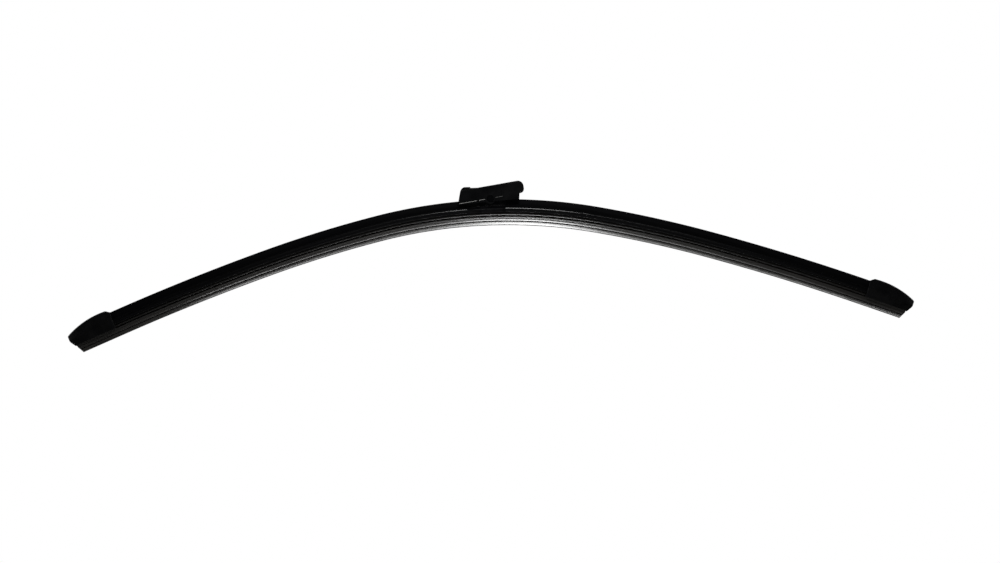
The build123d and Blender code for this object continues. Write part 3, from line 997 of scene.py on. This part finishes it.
@dataclass
class EndCaps:
    """Moulded caps: a beak over the ends of the spoiler, the rails and the rubber.

    A room for the rails or the rubber has its half width, its lower and upper level, and its depth.
    """

    bow: Bow
    start: float = 288.8
    length: float = 36.2
    half_width: float = 7.4
    tip_half_width: float = 3.2
    taper_power: int = 4
    gable: float = 24.72
    crown_at: float = 8.7
    tip_drop: float = 6.3
    crest_cut: float = 3.2
    foot: float = 6.5
    foot_round: float = 0.5
    eaves: float = 13.12
    eaves_cut: float = 2.4
    eaves_round: float = 4.5
    beak_rise: float = 4.8
    beak_slant: float = 3.0
    mouth_rake: Point = (3.5, 2.7)
    mouth_round: float = 0.45
    tip_round: float = 0.9
    corner_chords: int = 8
    mouth_rings: tuple[float, ...] = (0.0, 0.06, 0.2, 0.45)
    middle_rings: int = 32
    tip_rings: tuple[float, ...] = (
        3.6, 3.0, 2.5, 2.0, 1.5, 1.1, 0.8, 0.5, 0.3, 0.15, 0.05, 0.0)
    spoiler_depth: float = 8.15
    spoiler_widen: float = 1.026
    spoiler_play: float = 0.15
    spoiler_middle: float = 12.0
    rail_room: Room = (5.21, 10.5, 11.62, 28.55)
    rubber_room: Room = (2.95, 0.0, 12.97, 32.55)
    past_mouth: float = 1.0
    past_side: float = 9.0
    finish: Finish = field(default_factory=lambda: GrainedPlastic(
        # Glass-filled nylon, moulded in a spark-eroded tool: black, dull, with a pebbled grain.
        "moulded black nylon", "#040405", 0.45, specular=0.1))

    def ring(self, distance: float) -> list[Point]:
        """Outline of the cap at a distance from its mouth.

        Args:
            distance: How far the section is from the mouth.

        Returns:
            The same number of points at every distance.
        """
        taper = (distance / self.length) ** self.taper_power
        half = self.half_width - taper * (self.half_width - self.tip_half_width)
        past = (distance - self.crown_at) / (self.length - self.crown_at)
        apex = self.gable - self.tip_drop * past**2
        eaves = min(self.eaves, (self.foot + apex) / 2)
        pitch = math.atan2(apex - eaves, half)
        crest = self.crest_cut * math.sin(pitch) / (1 / math.cos(pitch) - 1)
        soft = min(self.eaves_round, self.eaves_cut / math.tan(pitch / 2)) if pitch > 0 else 0.0
        corners: list[Corner] = [
            (-half, self.foot, self.foot_round), (-half, eaves, soft), (0.0, apex, crest),
            (half, eaves, soft), (half, self.foot, self.foot_round),
        ]
        into_beak = max(0.0, distance - self.length + self.beak_slant)
        low = self.foot + into_beak * self.beak_rise / self.beak_slant
        points = []
        for y, h in rounded(corners, self.corner_chords):
            if h < low:
                reach = half if low < eaves else half * (apex - low) / (apex - eaves)
                y, h = max(-reach, min(reach, y)), low
            points.append((y, h))
        inset = 0.0
        for edge, radius in (
            (distance, self.mouth_round), (self.length - distance, self.tip_round),
        ):
            if edge < radius:
                inset = radius - math.sqrt(radius**2 - (radius - edge) ** 2)
        middle = (low + apex) / 2
        narrow, flat = 1 - inset / half, 1 - inset / (apex - low) * 2
        return [(y * narrow, middle + (h - middle) * flat) for y, h in points]

    def shell(self, side: Side) -> bpy.types.Object:
        """Loft the outside of a cap.

        Args:
            side: End of the blade that it is for.

        Returns:
            The closed shell.
        """
        distances = [
            *self.mouth_rings,
            *(1.0 + k for k in range(self.middle_rings)),
            *(self.length - left for left in self.tip_rings),
        ]
        rings = [self.ring(d) for d in distances]
        count = len(rings[0])
        verts = [self.bow.place(side.value * (self.start + d), y, h)
                 for d, ring in zip(distances, rings) for y, h in ring]
        faces = []
        for i in range(0, len(verts) - count, count):
            for k in range(count):
                n = (k + 1) % count
                faces.append((i + k, i + n, i + count + n, i + count + k))
        faces.append(tuple(range(count)))
        faces.append(tuple(range(len(verts) - count, len(verts))))
        shell = mesh_object("cap_shell", verts, faces)
        cleaned(shell.data)
        return shell

    def rooms(self, spoiler: Spoiler) -> list[list[list[Point3]]]:
        """Find what is hollowed out of a cap for the pieces it holds, and its raked mouth.

        Args:
            spoiler: The spoiler, whose form the caps take in.

        Returns:
            For each room its two ends, as points (distance from the mouth, across, height).
        """
        play, middle = self.spoiler_play, self.spoiler_middle
        form = [(y * self.spoiler_widen, h + math.copysign(play, h - middle))
                for y, h in rounded(spoiler.form())]
        outlines = [(form, self.spoiler_depth)]
        for half, low, high, depth in (self.rail_room, self.rubber_room):
            outlines.append(([(-half, low), (half, low), (half, high), (-half, high)], depth))
        rooms = [[[(d, y, h) for y, h in outline] for d in (-self.past_mouth, depth)]
                 for outline, depth in outlines]
        back, rise = self.mouth_rake
        wedge = [
            (0.0, spoiler.top), (back, spoiler.top + rise), (back, self.gable),
            (-self.past_mouth, self.gable), (-self.past_mouth, spoiler.top),
        ]
        rooms.append([[(d, y, h) for d, h in wedge] for y in (-self.past_side, self.past_side)])
        return rooms

    def build(self, spoiler: Spoiler) -> list[bpy.types.Object]:
        """Make both caps, hollowed for what they hold.

        Args:
            spoiler: The spoiler, whose form the caps take in.

        Returns:
            The left and the right cap.
        """
        material = self.finish.material()
        pieces = []
        for side in Side:
            shell = self.shell(side)
            cutters = [
                prism("cap_room", *(
                    [self.bow.place(side.value * (self.start + d), y, h) for d, y, h in end]
                    for end in ends))
                for ends in self.rooms(spoiler)
            ]
            carve(shell, cutters)
            label = side.name.lower()
            piece = finished(shell, f"{label}_cap_shell", sharp=38.0, cutters=cutters)
            paint(piece, material)
            pieces.append(stand_in(piece, f"{label}_end_cap", Body.BLADE))
        return pieces


@dataclass
class Connector:
    """Rails and pin as their solids, and the base and the adapter with soft edges.

    The tail has its start, its rake in degrees and the level of the button. The neck has its front,
    the level that stays in place and the level up to which it leans.
    """

    nodes: dict[str, bpy.types.Object]
    tilt: float = 7.6
    edge: float = 0.28
    edge_chords: int = 3
    edge_angle: float = 32.0
    flat_angle: float = 0.4
    tail: Point3 = (-24.5, 19.5, 11.9)
    tail_round: float = 4.5
    tail_chords: int = 8
    cut_reach: float = 9.0
    cut_room: float = 3.0
    button_from: Point = (-18.0, 11.0)
    button_slant: float = 10.0
    foot_from: Point = (20.5, -3.0)
    foot_drop: float = 0.5
    neck: Point3 = (21.4, -3.6, 1.6)
    neck_near: float = 0.05
    neck_lean: float = 13.0
    adapter: Finish = field(default_factory=lambda: NylonWithPaintedHighlight(
        # The same nylon as the caps, from a finer mould: black with a slight sheen on its rounds,
        # and a painted highlight, a pale line along the outer edge of the ledge.
        "moulded black adapter nylon", "#040405", 0.34, specular=0.05))
    base: Finish = field(default_factory=lambda: CoatedSteel(
        # Pressed steel, dip coated in black: satin, with soft orange peel.
        "dip coated steel", "#040405", 0.34, specular=0.05))
    rail: Finish = field(default_factory=lambda: DrawnSteel(
        # Cold rolled spring steel: bright grey with fine marks along the strip.
        "cold rolled spring steel", "#6f7072", 0.32, metallic=1.0))
    pin: Finish = field(default_factory=lambda: DrawnSteel(
        # Turned steel, chemically blackened: dark grey with faint turning marks.
        "blackened turned steel", "#0c0c0d", 0.38, metallic=1.0, tint="#17181a",
        stretch=(1.0, 0.1, 1.0)))

    def along(self, place: Vector) -> Point:
        """Turn a place in metres into the adapter's own along and up values."""
        own = turned(Vector((place.x, place.z)) / MM, -math.radians(self.tilt))
        return own.x, own.y

    def place(self, u: float, y: float, v: float) -> Vector:
        """Turn along, across and up values of the adapter into a place in metres."""
        level = turned(Vector((u, v)), math.radians(self.tilt))
        return Vector((level.x, y, level.y)) * MM

    def copied(self, node: str) -> bpy.types.Object:
        """Copy a solid with its points merged and its flat faces made whole.

        Args:
            node: Name of the solid.

        Returns:
            The copy, at the origin.
        """
        copy = mesh_object(node + "_copy", [], [])
        work = bmesh.new()
        work.from_mesh(self.nodes[node].data)
        bmesh.ops.remove_doubles(work, verts=work.verts, dist=1e-6)
        bmesh.ops.dissolve_limit(
            work, angle_limit=math.radians(self.flat_angle), verts=work.verts, edges=work.edges)
        work.to_mesh(copy.data)
        work.free()
        return copy

    def shape(self, copy: bpy.types.Object) -> None:
        """Slant the adapter's button, lower its front foot and lean the front of its neck.

        Args:
            copy: The adapter's copy.
        """
        slant, lean = (math.tan(math.radians(a)) for a in (self.button_slant, self.neck_lean))
        front, low, high = self.neck
        for vert in copy.data.vertices:
            u, v = self.along(vert.co)
            y = vert.co.y / MM
            if v > self.button_from[1]:
                vert.co = self.place(u, y, v - max(0.0, u - self.button_from[0]) * slant)
            elif u > self.foot_from[0] and v < self.foot_from[1]:
                vert.co = self.place(u, y, v - self.foot_drop)
            elif abs(u - front) < self.neck_near and v < high:
                vert.co = self.place(u + (v - low) * lean, y, v)

    def tail_cut(self) -> bpy.types.Object:
        """Make the prism that rounds off the adapter's tail up to the button's top.

        Returns:
            The prism.
        """
        start, rake, level = self.tail
        reach, room = self.cut_reach, self.cut_room
        top = start + level * math.tan(math.radians(rake))
        corners = [(start, 0.0, 0.0), (top, level, self.tail_round), (top + reach, level, 0.0)]
        arc = rounded(corners, self.tail_chords)[1:-1]
        outline = [
            *arc, (arc[-1][0], level + room), (start - room, level + room),
            (start - room, arc[0][1]),
        ]
        ends = ([self.place(u, y, v) for u, v in outline] for y in (-reach, reach))
        return prism("tail_cut", *ends)

    def softened(
        self, node: str, name: str, body: Body, finish: Finish
    ) -> bpy.types.Object:
        """Make the piece that stands for a solid, with soft edges.

        Args:
            node: Name of the solid.
            name: Name of the piece.
            body: Body that it rides on.
            finish: Its finish.

        Returns:
            The piece.
        """
        copy = self.copied(node)
        cutters = []
        if body is Body.ADAPTER:
            self.shape(copy)
            cutters.append(self.tail_cut())
        carve(copy, cutters)
        bevel = copy.modifiers.new("edges", "BEVEL")
        bevel.width, bevel.segments = self.edge * MM, self.edge_chords
        bevel.limit_method, bevel.angle_limit = "ANGLE", math.radians(self.edge_angle)
        piece = finished(copy, name, sharp=40.0, cutters=cutters)
        paint(piece, finish.material())
        return stand_in(piece, node, body)

    def dress(self) -> list[bpy.types.Object]:
        """Give the rails and the pin their finishes, and make the base and the adapter.

        Returns:
            The dressed solids and the pieces.
        """
        steel, black = self.rail.material(), self.pin.material()
        finishes = {"front_spring_rail": steel, "rear_spring_rail": steel, "pivot_pin": black}
        for node, material in finishes.items():
            paint(self.nodes[node], material)
        return [
            *(self.nodes[node] for node in finishes),
            self.softened(
                "connector_base", "base_pressing", Body.BLADE, self.base),
            self.softened(
                "arm_adapter", "adapter_moulding", Body.ADAPTER, self.adapter),
        ]


@dataclass(frozen=True)
class Lamp:
    """Soft lamp that the camera doesn't see, with its width and height and its power in watts.

    The turn is about the lamp's own axis in degrees, and lowers its right end where it is negative.
    """

    name: str
    place: Point3
    aim: Point3
    size: Point
    power: float
    turn: float = 0.0

    def hang(self) -> None:
        """Hang the lamp and face it to its aim."""
        data = bpy.data.lights.new(self.name, "AREA")
        data.shape, data.energy = "RECTANGLE", self.power
        data.size, data.size_y = (side * MM for side in self.size)
        lamp = bpy.data.objects.new(self.name, data)
        lamp.location = Vector(self.place) * MM
        facing = (Vector(self.aim) - Vector(self.place)).to_track_quat("-Z", "Y")
        own = Quaternion((0.0, 0.0, 1.0), math.radians(self.turn))
        lamp.rotation_euler = (facing @ own).to_euler()
        lamp.visible_camera = False
        bpy.context.scene.collection.objects.link(lamp)


@dataclass
class Studio:
    """Pale floor, white surroundings, soft lamps and the camera at the photograph's angle.

    The tunnel is a black card bent round the front. Its reach is in degrees from straight ahead.
    """

    bow: Bow
    roll: float = 2.40
    width: float = 750.0
    lens: float = 150.0
    sensor: float = 36.0
    shift: Point = (9.73, -42.0)
    floor_level: float = -700.0
    floor_half: float = 5000.0
    floor_glow: float = 0.28
    ambient: float = 0.5
    tunnel_radius: float = 600.0
    tunnel_half: float = 1500.0
    tunnel_reach: tuple[int, int] = (-100, 140)
    tunnel_step: int = 10
    lamps: tuple[Lamp, ...] = (
        Lamp("rear softbox", (0, 900, 1100), (0, 0, 0), size=(1400, 700), power=8.0),
        Lamp("low lamp", (14, -370, -227), (14, 0, -17), size=(40, 90), power=0.255),
        Lamp("low right strip", (150, -345, -263), (150, 0, -53), size=(300, 26), power=0.175,
             turn=-15.5),
        Lamp("low left strip", (-90, -345, -245), (-90, 0, -35), size=(180, 30), power=0.145,
             turn=9.5),
        Lamp("upper lamp", (35, -340, 300), (35, 0, -10), size=(160, 120), power=1.3),
    )

    def camera(self) -> None:
        """Place the camera square to the blade's side, turned by the photograph's roll."""
        roll = math.radians(self.roll)
        right = Vector((math.cos(roll), 0.0, -math.sin(roll)))
        up = Vector((math.sin(roll), 0.0, math.cos(roll)))
        x, z, _ = self.bow.at(0.0)
        distance = self.lens / self.sensor * self.width
        place = Vector((x, -distance, z)) + right * self.shift[0] + up * self.shift[1]
        data = bpy.data.cameras.new("photograph")
        data.lens, data.sensor_width, data.sensor_fit = self.lens, self.sensor, "HORIZONTAL"
        data.clip_start, data.clip_end = 0.05, 60.0
        camera = bpy.data.objects.new("photograph", data)
        camera.location = place * MM
        camera.rotation_euler = (math.pi / 2, roll, 0.0)
        bpy.context.scene.collection.objects.link(camera)
        bpy.context.scene.camera = camera

    def seen(self, tree: bpy.types.NodeTree) -> bpy.types.Node:
        """Add the nodes that tell the rays of the camera, of reflections and of clear pieces.

        Args:
            tree: Tree of the world or of a material.

        Returns:
            The node whose value is 1 for such a ray and 0 for one that brings light.
        """
        path = add_node(tree, "ShaderNodeLightPath").outputs
        share = path["Is Camera Ray"]
        for ray in ("Is Glossy Ray", "Is Transmission Ray"):
            share = add_node(tree, "ShaderNodeMath", {"operation": "MAXIMUM"}, {
                0: share, 1: path[ray]})
        return share

    def world(self) -> None:
        """Make surroundings that are white to see, also in reflections, and light softly."""
        world = bpy.data.worlds.new("white room")
        bpy.context.scene.world = world
        world.use_nodes = True
        tree = world.node_tree
        tree.nodes.clear()
        light, white = (
            add_node(tree, "ShaderNodeBackground", inputs={
                "Color": linear("#ffffff"), "Strength": strength})
            for strength in (self.ambient, 1.0)
        )
        mix = add_node(tree, "ShaderNodeMixShader", inputs={0: self.seen(tree), 1: light, 2: white})
        add_node(tree, "ShaderNodeOutputWorld", inputs={"Surface": mix})

    def floor(self) -> None:
        """Lay a plain pale floor below the blade, which doesn't hide the blade from below."""
        half, z = self.floor_half * MM, self.floor_level * MM
        corners = [(-half, -half, z), (half, -half, z), (half, half, z), (-half, half, z)]
        floor = mesh_object("floor", [Vector(corner) for corner in corners], [(0, 1, 2, 3)])
        pale = Finish("pale floor paint", "#f0f0ef", 0.9, specular=0.2).material()
        tree = pale.node_tree
        output = next(n for n in tree.nodes if n.bl_idname == "ShaderNodeOutputMaterial")
        # The floor looks nearly as pale as the surroundings, and keeps the blade's shadow.
        strength = add_node(tree, "ShaderNodeMath", {"operation": "MULTIPLY"}, {
            0: self.seen(tree), 1: self.floor_glow})
        glow = add_node(tree, "ShaderNodeEmission", inputs={"Strength": strength})
        lit = add_node(tree, "ShaderNodeAddShader", inputs={
            0: output.inputs["Surface"].links[0].from_socket, 1: glow})
        under = add_node(tree, "ShaderNodeNewGeometry").outputs["Backfacing"]
        clear = add_node(tree, "ShaderNodeBsdfTransparent")
        open_below = add_node(tree, "ShaderNodeMixShader", inputs={0: under, 1: lit, 2: clear})
        tree.links.new(open_below.outputs[0], output.inputs["Surface"])
        paint(floor, pale)

    def tunnel(self) -> None:
        """Bend a black card, seen by reflections alone, round the front to keep black black."""
        first, last = self.tunnel_reach
        turns = [math.radians(a) for a in range(first, last + 1, self.tunnel_step)]
        verts = [
            Vector((x, -math.cos(a) * self.tunnel_radius, math.sin(a) * self.tunnel_radius)) * MM
            for a in turns for x in (-self.tunnel_half, self.tunnel_half)
        ]
        faces = [(k, k + 1, k + 3, k + 2) for k in range(0, len(verts) - 2, 2)]
        card = mesh_object("black_card", verts, faces)
        paint(card, Finish("black card", "#000000", 1.0, specular=0.0).material())
        card.visible_camera = card.visible_diffuse = False
        card.visible_shadow = card.visible_transmission = False

    def build(self) -> None:
        """Set up the whole studio."""
        self.world()
        self.floor()
        self.tunnel()
        for lamp in self.lamps:
            lamp.hang()
        self.camera()
        bpy.context.scene.view_settings.view_transform = "Standard"


def main() -> None:
    """Build the blade's looks in order and report each piece."""
    logging.basicConfig(level=logging.INFO, format="%(name)s: %(message)s")
    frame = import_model()
    bow = Bow()
    tree = bow.strip_tree()
    spoiler = Spoiler(bow)
    pieces = [WipingStrip(bow).build(tree), *spoiler.build(tree), *EndCaps(bow).build(spoiler)]
    pieces += Connector(frame["nodes"]).dress()
    for piece in pieces:
        LOG.info("%s: %d faces", piece.name, len(piece.data.polygons))
    Studio(bow).build()


if __name__ == "__main__":
    main()
